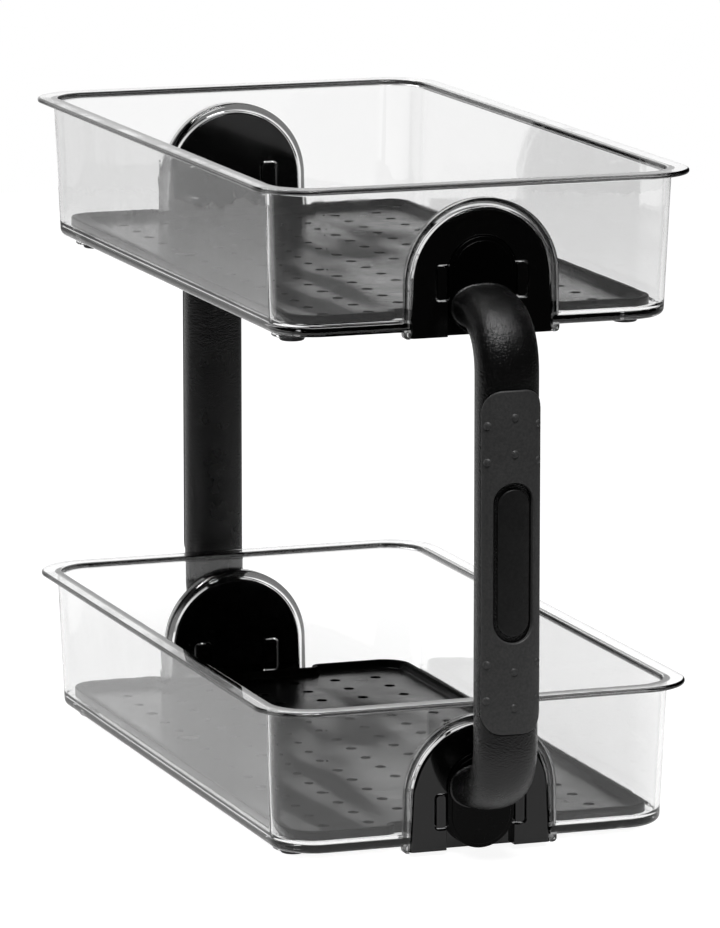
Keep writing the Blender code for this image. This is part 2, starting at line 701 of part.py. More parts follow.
for tier, z in TRAY_Z.items():
    build_tray("tray_" + tier, z)
    build_mat("mat_" + tier, z)
    shared_foot = foot_mesh()
    for spot, (fx, fy) in FOOT_SPOTS.items():
        foot = make_object("foot_%s_%s" % (tier, spot), shared_foot, FOOT)
        foot.location = (fx, fy, z)
    for side in TURN:
        build_plate("plate_%s_%s" % (tier, side), tier, side)
        build_hub("hub_%s_%s" % (tier, side), tier, side)

for side in TURN:
    build_handle(side)

# The upper tray lifts off the end plates and takes its mat and feet along.
for name in ["mat_upper"] + ["foot_upper_" + spot for spot in FOOT_SPOTS]:
    child = bpy.data.objects[name]
    child.parent = bpy.data.objects["tray_upper"]
    child.location.z -= TRAY_Z["upper"]
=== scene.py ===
"""Looks of the two-tier clear organizer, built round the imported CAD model.

Metres, +Z up, front towards -Y. Each piece stands where its CAD node stands.
"""

import math
from bisect import bisect_left

import bmesh
import bpy
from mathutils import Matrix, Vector


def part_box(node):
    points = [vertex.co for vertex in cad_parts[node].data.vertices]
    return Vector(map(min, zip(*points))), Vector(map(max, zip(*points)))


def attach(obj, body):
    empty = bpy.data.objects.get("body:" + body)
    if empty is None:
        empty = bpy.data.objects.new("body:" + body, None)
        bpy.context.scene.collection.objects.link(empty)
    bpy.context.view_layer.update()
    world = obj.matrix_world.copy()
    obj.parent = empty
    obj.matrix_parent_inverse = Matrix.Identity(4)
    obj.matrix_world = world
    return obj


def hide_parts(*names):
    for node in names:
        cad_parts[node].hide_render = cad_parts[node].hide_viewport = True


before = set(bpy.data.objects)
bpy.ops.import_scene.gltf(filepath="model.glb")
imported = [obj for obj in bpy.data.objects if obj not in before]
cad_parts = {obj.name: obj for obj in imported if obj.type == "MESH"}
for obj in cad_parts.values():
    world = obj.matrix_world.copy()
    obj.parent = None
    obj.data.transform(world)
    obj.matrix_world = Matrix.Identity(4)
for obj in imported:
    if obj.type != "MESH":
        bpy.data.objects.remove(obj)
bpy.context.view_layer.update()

MM = 0.001
GAP = 0.3 * MM

# Sizes of the solids, as the part has them.
RIM_WIDTH, RIM_DEPTH, RIM_CORNER = 178.0 * MM, 321.0 * MM, 22.0 * MM
TRAY_HEIGHT, FLANGE, RIM_THICK = 58.0 * MM, 6.2 * MM, 2.0 * MM
WALL, WALL_LEAN, WALL_CORNER = 1.8 * MM, 2.0 * MM, 18.0 * MM
BOTTOM_EDGE, FLOOR_TOP, FLOOR_FILLET = 3.0 * MM, 3.3 * MM, 3.0 * MM
PANEL_RECESS, PANEL_MARGIN = 1.5 * MM, 5.0 * MM
PLATE_FACE = RIM_DEPTH / 2 - 8.5 * MM
PLATE_THICK, PLATE_HALF, PLATE_TOP, PLATE_DROP = 5.0 * MM, 28.1 * MM, 47.2 * MM, 2.3 * MM
PLATE_SLOPE, PLATE_BACK = 0.042, 1.4 * MM
COLLAR_WALL, COLLAR_CROWN, COLLAR_SLOPE = 3.0 * MM, 0.6 * MM, 0.02
COLLAR_END = PLATE_FACE - PLATE_THICK
LUG_DROP, LUG_CORNER = 0.2 * MM, 1.6 * MM
HUB_RADIUS, HUB_LOW, HUB_HIGH = 13.7 * MM, 11.4 * MM, 22.5 * MM
HUB_PROUD, HUB_CHAMFER = 1.1 * MM, 2.0 * MM
KEY_WIDTH, KEY_HEIGHT, KEY_CORNER, KEY_TAB = 37.4 * MM, 13.8 * MM, 1.6 * MM, 7.0 * MM
KEY_MID = {"lower": 13.2 * MM, "upper": 18.6 * MM}
TUBE_WIDTH, TUBE_THICK, OVAL_POWER = 25.2 * MM, 16.5 * MM, 2.3
TUBE_REACH, BEND_HEIGHT, BEND_POWER = 26.6 * MM, 24.0 * MM, 2.4
TUBE_ABOVE = {"lower": 22.8 * MM, "upper": 9.2 * MM}
PAD_LENGTH, PAD_HALF_WRAP, PAD_CORNER = 133.6 * MM, 12.7 * MM, 8.5 * MM
PAD_PROUD, CHANNEL_DEPTH = 0.9 * MM, 0.9 * MM
WINDOW_LENGTH, WINDOW_HALF, WINDOW_LIP = 62.2 * MM, 8.0 * MM, 0.65 * MM
INLAY_LENGTH, INLAY_HALF, INLAY_PROUD = 57.0 * MM, 6.4 * MM, 0.35 * MM
DOT_RADIUS, DOT_HEIGHT, DOT_SIDE, DOT_STAGGER = 1.5 * MM, 0.7 * MM, 10.2 * MM, 3.0 * MM
DOT_ROWS = (42.3 * MM, 56.4 * MM)
MAT_GAP, MAT_CORNER, MAT_BORDER_TOP, MAT_FIELD_TOP = 1.2 * MM, 12.0 * MM, 8.0 * MM, 4.9 * MM
MAT_BORDER, MAT_SLOPE = 2.6 * MM, 1.6 * MM
NOTCH_DEPTH, NOTCH_OUTER, NOTCH_INNER = 5.6 * MM, 4.5 * MM, 0.9 * MM
DIMPLE_PITCH, DIMPLE_ROW_PITCH, DIMPLE_MARGIN = 18.5 * MM, 17.85 * MM, 14.0 * MM
FOOT_X, FOOT_Y = RIM_WIDTH / 2 - 20.3 * MM, RIM_DEPTH / 2 - 33.5 * MM
FOOT_RADIUS, FOOT_TIP, FOOT_DROP, FOOT_TAPER = 5.7 * MM, 4.4 * MM, 4.2 * MM, 1.0 * MM
BOSS_WALL, BOSS_DROP = 2.0 * MM, 2.4 * MM

TRAY_Z = {"lower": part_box("tray_lower")[1].z - TRAY_HEIGHT,
          "upper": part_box("tray_upper")[1].z - TRAY_HEIGHT}
TURN = {"front": 0.0, "back": math.pi}
TRAY_BODY = {"lower": "base", "upper": "upper_tray"}
MAT_BODY = {"lower": "lower_mat", "upper": "upper_mat"}

# Edges and small details, some of them finer than the solids have.
PANEL_EDGE = ((1.5 * MM, PANEL_RECESS), (0.8 * MM, PANEL_RECESS - 0.1 * MM),
              (0.2 * MM, 0.1 * MM), (-0.4 * MM, 0.0))   # inset past the panel's edge, height
RIM_NECK, RIM_LOW_ROUND, RIM_TOP_ROUND, RIM_INNER_ROUND = 1.2 * MM, 0.92 * MM, 0.98 * MM, 0.8 * MM
COLLAR_ROUND, MOUTH_EASE, BRINK_EASE, BOSS_EASE = 1.9 * MM, 0.5 * MM, 0.4 * MM, 0.4 * MM
MAT_FOOT_EASE, MAT_OUTER_ROUND, MAT_INNER_ROUND = 0.5 * MM, 0.6 * MM, 0.9 * MM
DIMPLE_CUP = ((0.15 * MM, -1.2 * MM), (1.0 * MM, -1.15 * MM), (1.75 * MM, -0.9 * MM),
              (2.15 * MM, -0.4 * MM), (2.3 * MM, -0.05 * MM), (2.45 * MM, 0.02 * MM),
              (2.8 * MM, 0.06 * MM), (2.8 * MM, 1.0 * MM))   # radius, height from the field
FOOT_TIP_ROUND, FOOT_TIP_INSET = 0.8 * MM, 0.3 * MM
PLATE_BACK_ROUND, PLATE_CROWN, SLOT_EASE = 0.6 * MM, 1.5 * MM, 0.45 * MM
EASE_ANGLES = (0.0, 0.4, 0.8, 1.2, math.pi / 2)
HUB_SOFT, HUB_LEDGE = 0.4 * MM, 0.45 * MM
HUB_STEP = ((0.15 * MM, 0.0), (0.03 * MM, 0.05 * MM), (0.0, 0.15 * MM))
WING_SLIT, WING_EDGE, TAB_ROUND = 0.4 * MM, 0.3 * MM, 0.5 * MM
KEY_FLOOR, TAB_FLOOR, WING_FLOOR = 0.2 * MM, 0.5 * MM, 0.4 * MM   # outwards of the hub's seat
TUBE_FLARE = ((0.0, 0.7 * MM), (0.12 * MM, 0.38 * MM), (0.4 * MM, 0.12 * MM))   # run, growth
LIP_CURVE = ((1.0, 1.0), (0.75, 0.42), (0.45, 0.14), (0.0, 0.0))   # shares of the lip's width
CHANNEL_EASE, CHANNEL_RISE, PAD_ROUND, INLAY_ROUND = 0.15 * MM, 0.02 * MM, 0.55 * MM, 0.4 * MM
LEAST_CORNER, LEAST_REACH = 0.2 * MM, 0.15 * MM   # of a patch on the tube
DOT_FOOT = ((0.25 * MM, -0.5 * MM), (0.25 * MM, -0.06 * MM), (0.08 * MM, -0.01 * MM))
DOT_SEAT = 0.5 * MM
DOT_ANGLES = (0.1, 0.35, 0.65, 0.95, 1.25, 1.48)

# Cutters run on past what they cut by these lengths.
PAST, PATCH_PAST, FAR_PAST, RIGHT_THROUGH = 2.0 * MM, 3.0 * MM, 6.0 * MM, 9.0 * MM
WELD, SLIVER = 1e-6, 2e-6   # points closer than these become one

CORNER_STEPS, EDGE_STEPS, ROUND_STEPS = 18, 6, 10
ARCH_STEPS, OVAL_STEPS, BEND_STEPS = 72, 64, 28
TURNED_SIDES, FOOT_SIDES, SMALL_SIDES = 32, 40, 20
WRAP_STEPS, PATCH_ROWS = 600, 12

# Clear plastic: the light that walls pass and the darker level of painted shade on the edges, the
# run of the shade's own edge, how far outside the opening a collar's painted shade starts, and
# its length along the collar.
WALL_LEVEL, EDGE_SHADE_LEVEL, RIM_SHADE, SHADOW_PASS = 0.985, 0.04, 0.85, 0.9
SMOKE_LEVEL, SMOKE_DENSITY = 0.3, 30.0
SHADE_RUN, SHADE_PAST, SHADE_LENGTH = 0.2 * MM, 1.2 * MM, 3.2 * MM
UPRIGHT = (0.97, 0.6)   # upward part of the normal on level and on upright faces

# Sheen of the mats, over the back end and between the heights of dimples and border.
SHEEN_STRETCH, SHEEN_INDEX = (1.5, 0.3, 1.0), (1.03, 1.4)
SHEEN_FAR_END, SHEEN_FAR_LEVEL = (60.0 * MM, 140.0 * MM), 0.3
SHEEN_ABOVE = (MAT_FIELD_TOP - 0.3 * MM, MAT_FIELD_TOP - 0.04 * MM)
SHEEN_BELOW = (MAT_BORDER_TOP - 0.6 * MM, MAT_FIELD_TOP + 0.9 * MM)

# Room: directions, cones and heights in degrees, levels of white.
BACKDROP_AIM, BACKDROP_CONE, BACKDROP_LEVELS = (-0.3, 0.93, 0.15), (51.0, 41.0), (0.01, 1.0)
CEILING_ANGLES, CEILING_LEVELS = (15.0, 32.0), (1.0, 0.08)
SCREEN_AIM, SCREEN_CONE, SCREEN_LEVELS = (-0.33, 0.93, -0.18), (20.0, 4.0), (1.0, 0.3)
HORIZON, GROUND_LEVEL = (0.02, -0.02), 0.92

# Floor, lamps and camera, in metres, watts, pixels and radians.
FLOOR_RADIUS, FLOOR_MIDDLE, FLOOR_LEVEL, FLOOR_GLOW = 1.05, (0.25, 0.62, 0.0), 0.35, 0.42
FLOOR_FAR, FLOOR_FAR_LEVELS = (0.95, 1.45), (0.5, 0.12)
FLOOR_RIGHT, FLOOR_RIGHT_LEVELS = (0.2, 0.45), (1.0, 0.1)
LAMPS = (("front", (-0.1, -0.8, 1.5), 16.0), ("back", (-0.2, 1.0, 1.45), 10.0))
LAMP_SIZE, LAMP_TARGET = (0.7, 0.45), (0.0, 0.0, 0.15)
FOCAL_PIXELS, FRAME_PIXELS, SENSOR = 6659.85, 928.0, 36.0
CAMERA_PLACE = (-0.8872216, -2.5142056, 0.6117833)   # height above the lower tray's foot
AZIMUTH, DOWN = 0.34067, 0.18125


# mesh tools
def mesh_from(name, verts, faces):
    """Mesh with its doubled points welded and its faces turned outwards."""
    mesh = bpy.data.meshes.new(name)
    mesh.from_pydata([tuple(v) for v in verts], [], faces)
    work = bmesh.new()
    work.from_mesh(mesh)
    bmesh.ops.remove_doubles(work, verts=work.verts, dist=WELD)
    bmesh.ops.recalc_face_normals(work, faces=work.faces)
    work.to_mesh(mesh)
    work.free()
    return mesh


def loft(name, loops):
    """Closed skin over loops of equally many points, capped at both ends."""
    verts, faces = [], []
    count = len(loops[0])
    for loop in loops:
        verts.extend(loop)
    for k in range(len(loops) - 1):
        a, b = k * count, (k + 1) * count
        for i in range(count):
            j = (i + 1) % count
            faces.append((a + i, a + j, b + j, b + i))
    faces.append(tuple(range(count - 1, -1, -1)))
    last = (len(loops) - 1) * count
    faces.append(tuple(range(last, last + count)))
    return mesh_from(name, verts, faces)


def joined(name, meshes):
    """Several meshes as one, for a single boolean step."""
    work = bmesh.new()
    for mesh in meshes:
        work.from_mesh(mesh)
    out = bpy.data.meshes.new(name)
    work.to_mesh(out)
    work.free()
    return out


def placed(name, data):
    """A new object in the scene."""
    obj = bpy.data.objects.new(name, data)
    bpy.context.scene.collection.objects.link(obj)
    return obj


def boolean(mesh, steps):
    """The mesh after a list of (operation, cutter mesh) pairs."""
    body = placed("work", mesh)
    helpers = []
    for operation, cutter in steps:
        tool = placed("tool", cutter)
        helpers.append(tool)
        mod = body.modifiers.new("cut", "BOOLEAN")
        mod.object, mod.operation, mod.solver = tool, operation, "EXACT"
    graph = bpy.context.evaluated_depsgraph_get()
    out = bpy.data.meshes.new_from_object(body.evaluated_get(graph))
    for obj in helpers + [body]:
        bpy.data.objects.remove(obj, do_unlink=True)
    work = bmesh.new()
    work.from_mesh(out)
    bmesh.ops.dissolve_degenerate(work, edges=work.edges, dist=SLIVER)
    work.to_mesh(out)
    work.free()
    return out


def piece(name, mesh, mat, body, node, z=0.0, turn=0.0, x=0.0, y=0.0, sharp=32.0):
    """Place a finished mesh in the scene in the stead of a CAD node."""
    obj = placed(name, mesh)
    if not mesh.materials:
        mesh.materials.append(mat)
    mesh.materials[0] = mat
    mesh.shade_smooth()
    mesh.set_sharp_from_angle(angle=math.radians(sharp))
    normals = obj.modifiers.new("normals", "WEIGHTED_NORMAL")
    normals.keep_sharp = True
    obj.location = (x, y, z)
    obj.rotation_euler.z = turn
    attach(obj, body)
    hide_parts(node)


def arc(cx, cz, radius, start, end, steps=EDGE_STEPS):
    """Points on a circle, from one angle to another in degrees."""
    return [(cx + radius * math.cos(math.radians(start + (end - start) * i / steps)),
             cz + radius * math.sin(math.radians(start + (end - start) * i / steps)))
            for i in range(steps + 1)]


def box_outline(half_x, half_z, corner, mid_x=0.0, mid_z=0.0, steps=EDGE_STEPS):
    """Rectangle with round corners about a middle."""
    points = []
    for sx, sz, start in ((1, -1, -90), (1, 1, 0), (-1, 1, 90), (-1, -1, 180)):
        points += arc(mid_x + sx * (half_x - corner), mid_z + sz * (half_z - corner),
                      corner, start, start + 90, steps)
    return points


def rounded_loop(half_x, half_y, corner, z):
    """Level rectangle with round corners, at a height."""
    return [Vector((x, y, z))
            for x, y in box_outline(half_x, half_y, corner, steps=CORNER_STEPS)]


def arch_outline(half, bottom, top, slope=0.0, corner=0.0):
    """Round top on straight sides, which run out by the slope as they go down."""
    spring = top - half
    foot = half + slope * (spring - bottom)
    right = arc(foot - corner, bottom + corner, corner, -90, 0) if corner else [(foot, bottom)]
    left = [(-x, z) for x, z in right[::-1]]
    return left + right + arc(0.0, spring, half, 0, 180, ARCH_STEPS)


def stadium_outline(radius, low, high, cut_below):
    """Upright stadium whose lower end is cut off level."""
    drop = low - cut_below
    reach = math.degrees(math.asin(min(1.0, drop / radius)))
    half = ARCH_STEPS // 2
    return (arc(0.0, low, radius, -reach, 0, half) + arc(0.0, high, radius, 0, 180, ARCH_STEPS)
            + arc(0.0, low, radius, 180, 180 + reach, half))


def turned(name, profile, x=0.0, y=0.0, sides=TURNED_SIDES):
    """Mesh turned from a profile of (radius, height) about an upright axis."""
    spokes = [(math.cos(2 * math.pi * i / sides), math.sin(2 * math.pi * i / sides))
              for i in range(sides)]
    return loft(name, [[Vector((x + r * c, y + r * s, z)) for c, s in spokes]
                       for r, z in profile])


def upright(outline, y, lean=0.0):
    """An outline in X and Z set up at a depth, leaning back as a wall does."""
    return [Vector((x, y + lean * z, z)) for x, z in outline]


def turned_about(mesh):
    """The same mesh for the back end of the tray."""
    out = mesh.copy()
    for v in out.vertices:
        v.co.x, v.co.y = -v.co.x, -v.co.y
    return out


# tray
def wall_inset(z):
    """How far the leaning wall's outer face stands in from the rim, at a height."""
    return FLANGE + WALL_LEAN * (1.0 - z / TRAY_HEIGHT)


def tray_mesh():
    """Shell of a tray, as one closed section of (inset, corner radius, height)."""
    rim_low = TRAY_HEIGHT - RIM_THICK
    foot = wall_inset(0.0)
    panel = foot + BOTTOM_EDGE + PANEL_MARGIN
    panel_corner = WALL_CORNER - BOTTOM_EDGE - PANEL_MARGIN
    inner = WALL_CORNER - WALL
    neck, low, top, inside = RIM_NECK, RIM_LOW_ROUND, RIM_TOP_ROUND, RIM_INNER_ROUND
    section = [(panel + d, panel_corner - d, z) for d, z in PANEL_EDGE]
    for inset, z in arc(foot + BOTTOM_EDGE, BOTTOM_EDGE, BOTTOM_EDGE, 270, 180, ROUND_STEPS):
        section.append((inset, WALL_CORNER - (inset - foot), z))
    section.append((wall_inset(rim_low - neck), WALL_CORNER, rim_low - neck))
    for inset, z in arc(FLANGE - neck, rim_low - neck, neck, 0, 90)[1:]:
        section.append((inset, WALL_CORNER + FLANGE - inset, z))
    for inset, z in (arc(low, rim_low + low, low, 270, 180)
                     + arc(top, TRAY_HEIGHT - top, top, 180, 90)):
        section.append((inset, RIM_CORNER - inset, z))
    lip = FLANGE + WALL
    for inset, z in arc(lip - inside, TRAY_HEIGHT - inside, inside, 90, 0):
        section.append((inset, inner + lip - inset, z))
    base = wall_inset(FLOOR_TOP) + WALL
    for inset, z in arc(base + FLOOR_FILLET, FLOOR_TOP + FLOOR_FILLET, FLOOR_FILLET,
                        180, 270, ROUND_STEPS):
        section.append((inset, inner - (inset - base), z))
    return loft("tray", [rounded_loop(RIM_WIDTH / 2 - i, RIM_DEPTH / 2 - i, c, z)
                         for i, c, z in section])


def collar_meshes():
    """Clear collar round the arch opening, and the cutter of the opening, its mouth eased."""
    half, top = PLATE_HALF + GAP, PLATE_TOP + GAP

    def collar_loop(inset):
        return arch_outline(half + COLLAR_WALL - inset, inset - PLATE_DROP - LUG_DROP,
                            top + COLLAR_WALL + COLLAR_CROWN - inset, COLLAR_SLOPE,
                            LUG_CORNER)

    wall_face = -(RIM_DEPTH / 2 - wall_inset(0.0))
    lean = -WALL_LEAN / TRAY_HEIGHT
    loops = [upright(collar_loop(0.0), wall_face + WALL / 3, lean)]
    for inset, out in arc(COLLAR_ROUND, COLLAR_ROUND, COLLAR_ROUND, 180, 270, 2 * EDGE_STEPS):
        loops.append(upright(collar_loop(inset), -COLLAR_END - out))
    collar = loft("collar", loops)

    def opening(grow):
        return arch_outline(half + grow, -RIGHT_THROUGH, top + grow, PLATE_SLOPE)

    steps = [upright(opening(BRINK_EASE), -(COLLAR_END - GAP)),
             upright(opening(0.75 * BRINK_EASE), -COLLAR_END - 0.25 * BRINK_EASE),
             upright(opening(0.0), -COLLAR_END - BRINK_EASE)]
    halfway = 0.3 * MOUTH_EASE
    for grow, out in ((0.0, MOUTH_EASE), (halfway, halfway), (MOUTH_EASE, 0.0)):
        steps.append(upright(opening(grow), wall_face + out, lean))
    steps.append(upright(opening(MOUTH_EASE), wall_face - FAR_PAST, lean))
    return collar, loft("opening", steps)


def build_trays(mat):
    collar, opening = collar_meshes()
    added, removed = [collar, turned_about(collar)], [opening, turned_about(opening)]
    bore, boss = FOOT_RADIUS + GAP, FOOT_RADIUS + GAP + BOSS_WALL
    boss_profile = [(boss - BOSS_EASE, -BOSS_DROP), (boss, -BOSS_DROP + BOSS_EASE),
                    (boss, (PANEL_RECESS + FLOOR_TOP) / 2)]
    bore_profile = [(bore, -RIGHT_THROUGH), (bore, PANEL_RECESS)]
    for x in (-FOOT_X, FOOT_X):
        for y in (-FOOT_Y, FOOT_Y):
            added.append(turned("boss", boss_profile, x, y))
            removed.append(turned("bore", bore_profile, x, y))
    mesh = boolean(tray_mesh(), [("UNION", joined("added", added)),
                                 ("DIFFERENCE", joined("removed", removed))])
    for tier, z in TRAY_Z.items():
        piece("clear_tray_" + tier, mesh, mat, TRAY_BODY[tier], "tray_" + tier,
              z)


# mat
def mat_outline(inset, z):
    """Level outline of a mat, notched at both ends for the collars."""
    edge = wall_inset(FLOOR_TOP) + WALL + FLOOR_FILLET
    half_x = RIM_WIDTH / 2 - edge - MAT_GAP - inset
    half_y = RIM_DEPTH / 2 - edge - MAT_GAP - inset
    notch_x = PLATE_HALF + GAP + COLLAR_WALL + MAT_GAP + inset
    notch_y = half_y - NOTCH_DEPTH
    quarter = [
        (notch_x, notch_y, NOTCH_INNER + inset, -1, 1, 0.0, -90.0),
        (notch_x, half_y, NOTCH_OUTER - inset, 1, -1, 90.0, 90.0),
        (half_x, half_y, MAT_CORNER - inset, -1, -1, 0.0, 90.0),
    ]
    points = []
    for sx, sy in ((1, 1), (-1, 1), (-1, -1), (1, -1)):
        for px, py, r, ox, oy, start, sweep in (quarter if sx * sy < 0 else quarter[::-1]):
            bend = [(sx * x, sy * y) for x, y in
                    arc(px + ox * r, py + oy * r, r, start, start + sweep, ROUND_STEPS)]
            points += bend if sx * sy > 0 else bend[::-1]
    return [Vector((x, y, z)) for x, y in points]


def build_mats(mat):
    low, top, field = FLOOR_TOP + GAP, MAT_BORDER_TOP, MAT_FIELD_TOP
    outer, inner = MAT_OUTER_ROUND, MAT_INNER_ROUND
    section = [(MAT_FOOT_EASE, low), (0.0, low + MAT_FOOT_EASE)]
    section += arc(outer, top - outer, outer, 180, 90)
    section += arc(MAT_BORDER - inner, top - inner, inner, 90, 20)
    section += arc(MAT_BORDER + MAT_SLOPE, field + inner, inner, 200, 270)
    reach_x = RIM_WIDTH / 2 - wall_inset(FLOOR_TOP) - WALL - FLOOR_FILLET - DIMPLE_MARGIN
    reach_y = RIM_DEPTH / 2 - RIM_WIDTH / 2 + reach_x - NOTCH_DEPTH
    columns, rows = int(reach_x / DIMPLE_PITCH), int(reach_y / DIMPLE_ROW_PITCH)
    cup = [(radius, field + z) for radius, z in DIMPLE_CUP]
    dimples = [turned("dimple", cup, i * DIMPLE_PITCH, j * DIMPLE_ROW_PITCH, SMALL_SIDES)
               for i in range(-columns, columns + 1) for j in range(-rows, rows + 1)]
    mesh = boolean(loft("mat", [mat_outline(inset, z) for inset, z in section]),
                   [("DIFFERENCE", joined("dimples", dimples))])
    for tier, z in TRAY_Z.items():
        piece("soft_mat_" + tier, mesh, mat, MAT_BODY[tier], "mat_" + tier, z,
              sharp=50.0)


# feet
def build_feet(mat):
    profile = [(FOOT_RADIUS, PANEL_RECESS - GAP), (FOOT_RADIUS, -FOOT_TAPER)]
    profile += arc(FOOT_TIP - FOOT_TIP_INSET, -FOOT_DROP + FOOT_TIP_ROUND, FOOT_TIP_ROUND, 0, -90)
    mesh = turned("foot", profile, sides=FOOT_SIDES)
    for tier, z in TRAY_Z.items():
        for ends, sy in (("front", -1), ("back", 1)):
            for hand, sx in (("left", -1), ("right", 1)):
                spot = "%s_%s_%s" % (tier, ends, hand)
                piece("foot_plug_" + spot, mesh, mat, TRAY_BODY[tier], "foot_" + spot,
                      z, x=sx * FOOT_X, y=sy * FOOT_Y)


# end plates and hubs
HUB_SEAT = -PLATE_FACE + PLATE_THICK - PLATE_BACK


def cut_level(mesh, z):
    """The mesh without what lies below a height, closed again."""
    work = bmesh.new()
    work.from_mesh(mesh)
    cut = bmesh.ops.bisect_plane(work, geom=work.verts[:] + work.edges[:] + work.faces[:],
                                 clear_inner=True, plane_co=(0, 0, z), plane_no=(0, 0, 1))
    bmesh.ops.contextual_create(
        work, geom=[g for g in cut["geom_cut"] if isinstance(g, bmesh.types.BMEdge)])
    bmesh.ops.recalc_face_normals(work, faces=work.faces)
    work.to_mesh(mesh)
    work.free()
    return mesh


def key_loop(grow, y, key_mid):
    """Outline of the key's recess in the plate's face."""
    return upright(box_outline(KEY_WIDTH / 2 + grow, KEY_HEIGHT / 2 + grow,
                               KEY_CORNER + grow, 0.0, key_mid), y)


def tab_loop(side, grow, y, key_mid):
    """Outline of the tab at one end of the key, which shows on the inner side."""
    return upright(box_outline(KEY_TAB / 2 + grow, KEY_HEIGHT / 2 + grow, KEY_CORNER + grow,
                               side * (KEY_WIDTH - KEY_TAB) / 2, key_mid), y)


def plate_mesh(key_mid):
    """Arch plate with rounded edges, a blind slot for the hub and windows for the key."""
    face, back = -PLATE_FACE, -PLATE_FACE + PLATE_THICK

    def ring(inset, y):
        return upright(arch_outline(PLATE_HALF - inset, inset - PLATE_TOP, PLATE_TOP - inset,
                                    PLATE_SLOPE), y)

    soft, crown, ease = PLATE_BACK_ROUND, PLATE_CROWN, SLOT_EASE
    loops = [ring(inset, back - out) for inset, out in arc(soft, soft, soft, 270, 180)]
    loops += [ring(inset, face + out) for inset, out in arc(crown, crown, crown, 180, 270)]
    mesh = cut_level(loft("plate", loops), -PLATE_DROP)
    # growth and depth of a cutter where it leaves the plate
    rounding = [(ease - ease * math.cos(t), ease - ease * math.sin(t)) for t in EASE_ANGLES]
    rounding.append((ease, -PAST))

    def slot_loop(grow, y):
        return upright(arch_outline(HUB_RADIUS + GAP + grow, -PLATE_DROP - PAST,
                                    HUB_HIGH + HUB_RADIUS + GAP + grow), y)

    slot = [slot_loop(0.0, HUB_SEAT)]
    slot += [slot_loop(grow, face + out) for grow, out in rounding]
    key = [key_loop(GAP, HUB_SEAT - KEY_FLOOR, key_mid)]
    key += [key_loop(GAP + grow, face + out, key_mid) for grow, out in rounding]
    windows = []
    for side in (-1, 1):
        loops = [tab_loop(side, GAP, HUB_SEAT - TAB_FLOOR, key_mid)]
        loops += [tab_loop(side, GAP + grow, back - out, key_mid) for grow, out in rounding]
        windows.append(loft("window", loops))
    return boolean(mesh, [("DIFFERENCE", loft("slot", slot)), ("DIFFERENCE", loft("key", key)),
                          ("DIFFERENCE", joined("windows", windows))])


def hub_mesh():
    """Upright stadium boss with a ledge round its face, cut level at the plate's foot."""
    face, proud = -PLATE_FACE, -PLATE_FACE - HUB_PROUD

    def ring(inset, y):
        return upright(stadium_outline(HUB_RADIUS - inset, HUB_LOW, HUB_HIGH, -PLATE_DROP), y)

    soft, ledge = HUB_SOFT, face - HUB_LEDGE
    step = HUB_CHAMFER - soft
    loops = [ring(0.0, HUB_SEAT - GAP)]
    loops += [ring(inset, ledge + out) for inset, out in arc(soft, soft, soft, 180, 270)]
    loops += [ring(step - inset, ledge - out) for inset, out in HUB_STEP]
    loops += [ring(step + inset, proud + out) for inset, out in arc(soft, soft, soft, 180, 270)]
    return loft("hub", loops)


def wing_mesh(side, key_mid):
    """One wing of the key, from the plate's face to its tab on the inner side."""
    face, back = -PLATE_FACE, -PLATE_FACE + PLATE_THICK - WING_EDGE / 3
    inner, outer = side * (HUB_RADIUS + GAP), side * KEY_WIDTH / 2
    half, middle = abs(outer - inner) / 2, (outer + inner) / 2

    def wing_loop(inset, y):
        inset += WING_SLIT
        return upright(box_outline(half - inset, KEY_HEIGHT / 2 - inset, KEY_CORNER - inset,
                                   middle, key_mid), y)

    body = loft("wing", [wing_loop(WING_EDGE, face),
                         wing_loop(WING_EDGE / 3, face + WING_EDGE / 3),
                         wing_loop(0.0, face + WING_EDGE),
                         wing_loop(0.0, HUB_SEAT - TAB_FLOOR)])
    tab = [tab_loop(side, -WING_SLIT, HUB_SEAT - WING_FLOOR - GAP, key_mid)]
    tab += [tab_loop(side, -WING_SLIT - inset, back - out, key_mid)
            for inset, out in arc(TAB_ROUND, TAB_ROUND, TAB_ROUND, 180, 270)]
    return boolean(body, [("UNION", loft("tab", tab))])


def build_ends(gloss, hub_mat):
    hub = hub_mesh()
    for tier, z in TRAY_Z.items():
        key_mid = KEY_MID[tier]
        plate = plate_mesh(key_mid)
        wings = {"left": wing_mesh(-1, key_mid), "right": wing_mesh(1, key_mid)}
        for side, turn in TURN.items():
            spot = "%s_%s" % (tier, side)
            piece("end_plate_" + spot, plate, gloss, "base", "plate_" + spot,
                  z, turn)
            piece("end_hub_" + spot, hub, hub_mat, "base", "hub_" + spot,
                  z, turn)
            for hand, wing in wings.items():
                piece("key_wing_%s_%s" % (spot, hand), wing, gloss, "base", "hub_" + spot,
                      z, turn)


# handles
TUBE_START = PLATE_FACE + HUB_PROUD + GAP
TUBE_RUN = PLATE_FACE + TUBE_REACH
HANDLE_MID = (TRAY_Z["lower"] + TUBE_ABOVE["lower"] + TRAY_Z["upper"] + TUBE_ABOVE["upper"]) / 2
HALF_SPAN = (TRAY_Z["upper"] + TUBE_ABOVE["upper"] - TRAY_Z["lower"] - TUBE_ABOVE["lower"]) / 2


def oval(turn):
    """Point of the tube's section at an angle, and its normal there."""
    a, b, p = TUBE_WIDTH / 2, TUBE_THICK / 2, OVAL_POWER
    c, s = math.cos(turn), math.sin(turn)
    x = a * math.copysign(abs(c) ** (2 / p), c)
    y = b * math.copysign(abs(s) ** (2 / p), s)
    nx = math.copysign(abs(x / a) ** (p - 1) / a, x)
    ny = math.copysign(abs(y / b) ** (p - 1) / b, y)
    size = math.hypot(nx, ny) or 1.0
    return x, y, nx / size, ny / size


